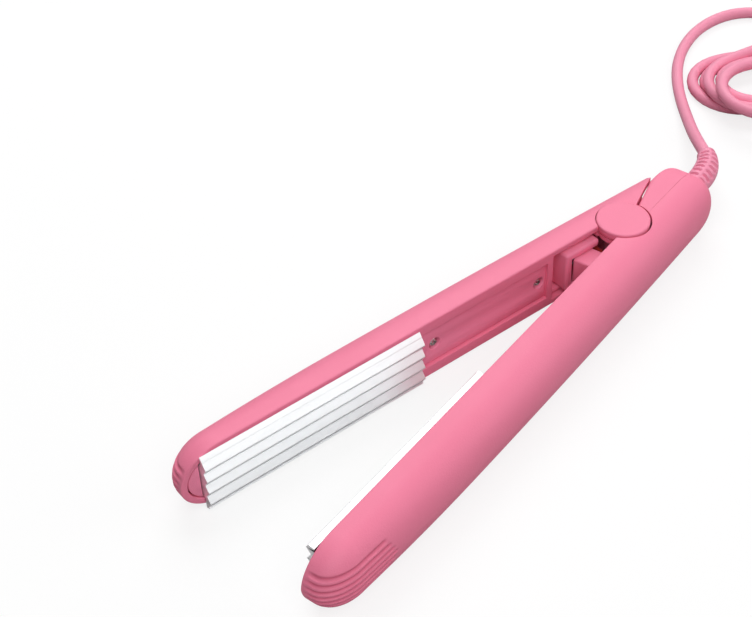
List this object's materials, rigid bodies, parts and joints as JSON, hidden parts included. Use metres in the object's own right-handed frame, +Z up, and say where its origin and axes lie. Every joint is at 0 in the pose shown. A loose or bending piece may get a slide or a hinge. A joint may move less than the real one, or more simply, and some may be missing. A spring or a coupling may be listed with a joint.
{
  "type": "hair crimper",
  "caption": "Pink mini hair crimper lying on its side, jaws sprung open 15 degrees, with corrugated heating plates, round hinge caps, ribbed cord relief and mains cord.",
  "frame": {"origin": "where the hinge axis meets the table, at the middle of the bottom hinge cap's flat face", "axes": "+Z up along the hinge axis; -X from the hinge towards the cord arm's tip, +X towards its cord; +Y towards the plate arm, which is open 15 degrees about Z"},
  "size_m": [0.3133, 0.0931, 0.0208],
  "materials": {
    "shell_plastic": "soft matt",
    "cover_plastic": "matt",
    "cord_plastic": "satin",
    "dark_plastic": "matt",
    "plate_metal": "satin, coated",
    "plain_steel": "bright zinc",
    "blade_brass": "bright",
    "heater_ceramic": "unglazed ceramic",
    "red_insulation": "matt",
    "white_insulation": "matt"
  },
  "bodies": {
    "cord_arm": {"cord_arm_shell": "shell_plastic", "tail_cover": "shell_plastic", "cord_arm_cover": "cover_plastic", "cord_arm_plate": "plate_metal", "cord_arm_heater": "heater_ceramic", "cord_arm_heater_pad": "white_insulation", "cord_arm_leaf_spring": "plain_steel", "cord_arm_screw_rear": "plain_steel", "cord_arm_screw_front": "plain_steel", "hinge_axle": "plain_steel", "axle_clip": "plain_steel", "hinge_washer_top": "plain_steel", "hinge_washer_bottom": "plain_steel", "jaw_spring": "plain_steel", "live_lead_rear": "red_insulation", "live_lead_front": "red_insulation", "live_link_wire": "red_insulation", "neutral_lead": "white_insulation", "neutral_link_wire": "white_insulation", "thermal_fuse": "plain_steel", "cord_clamp": "dark_plastic", "clamp_screw_upper": "plain_steel", "clamp_screw_lower": "plain_steel", "inner_sheath": "cord_plastic", "strain_relief": "cord_plastic", "power_cord": "cord_plastic", "cord_hank": "cord_plastic", "hank_tie": "dark_plastic", "plug_lead": "cord_plastic", "plug_body": "cord_plastic", "plug_blade_a": "blade_brass", "plug_blade_b": "blade_brass"},
    "plate_arm": {"plate_arm_shell": "shell_plastic", "hinge_cap_top": "shell_plastic", "hinge_cap_bottom": "shell_plastic", "plate_arm_cover": "cover_plastic", "plate_arm_plate": "plate_metal", "plate_arm_heater": "heater_ceramic", "plate_arm_heater_pad": "white_insulation", "plate_arm_leaf_spring": "plain_steel", "plate_arm_screw_rear": "plain_steel", "plate_arm_screw_front": "plain_steel", "plate_arm_live_lead": "red_insulation", "plate_arm_neutral_lead": "white_insulation"}
  },
  "joints": [
    {"name": "jaw_hinge", "type": "hinge", "parent": "cord_arm", "child": "plate_arm", "pos_m": [0, 0, 0.0104], "axis": [0, 0, 1], "range_deg": [0, 15], "stiffness_Nm_per_rad": 0.4, "springref_deg": -17.19, "deforming": ["jaw_spring", "live_link_wire", "neutral_link_wire"]}
  ]
}
